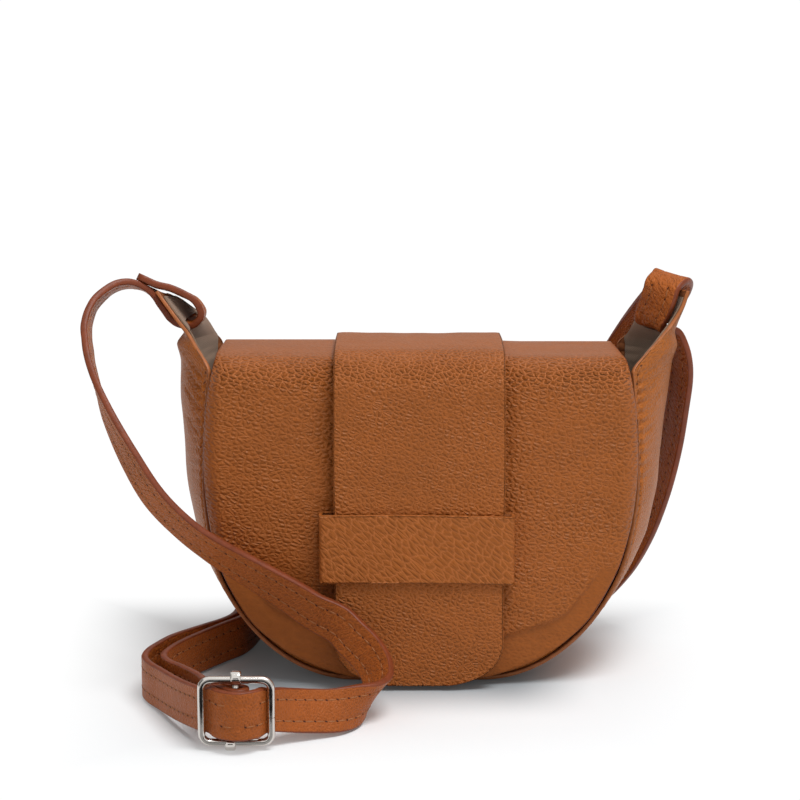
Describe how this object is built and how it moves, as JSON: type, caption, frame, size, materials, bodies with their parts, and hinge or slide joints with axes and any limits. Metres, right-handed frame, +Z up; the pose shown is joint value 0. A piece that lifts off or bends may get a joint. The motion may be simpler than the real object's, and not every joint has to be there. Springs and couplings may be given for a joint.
{
  "type": "crossbody bag",
  "caption": "Tan pebbled-leather saddle crossbody bag with a full flap, a central closure tab under a keeper band, raised strap ears and a slim adjustable shoulder strap.",
  "frame": {"origin": "middle of the flat part of the gusset's underside, on the surface the bag stands on", "axes": "+X is to the right across the width as the front is seen, +Y is towards the back, +Z is up"},
  "size_m": [0.2545, 0.1855, 0.1686],
  "materials": {
    "pebbled_leather": "mid-tan pebble-grain leather with a soft satin sheen and painted red-brown cut edges",
    "strap_leather": "smoother red-brown tan leather, stitched along both edges, with painted edges",
    "lining_cloth": "matt greige close-woven lining",
    "stiffener_board": "matt pressed fibre board, hidden inside the flap and the tab",
    "polished_nickel": "polished nickel plate"
  },
  "bodies": {
    "root": {"gusset": "pebbled_leather", "gusset_lining": "lining_cloth", "front_panel": "pebbled_leather", "back_panel": "pebbled_leather", "front_lining": "lining_cloth", "back_lining": "lining_cloth", "snap_socket": "polished_nickel", "snap_socket_washer": "polished_nickel", "shoulder_strap": "strap_leather", "slider_frame": "polished_nickel", "slider_bar": "polished_nickel"},
    "flap_body": {"flap": "pebbled_leather", "flap_stiffener": "stiffener_board", "flap_lining": "lining_cloth", "closure_tab": "pebbled_leather", "tab_core": "stiffener_board", "tab_backing": "pebbled_leather", "keeper_band": "pebbled_leather", "snap_stud": "polished_nickel", "snap_stud_washer": "polished_nickel"}
  },
  "joints": [
    {"name": "flap_hinge", "type": "hinge", "parent": "root", "child": "flap_body", "pos_m": [0, 0.032, 0.1332], "axis": [-1, 0, 0], "range_deg": [0, 150]}
  ]
}
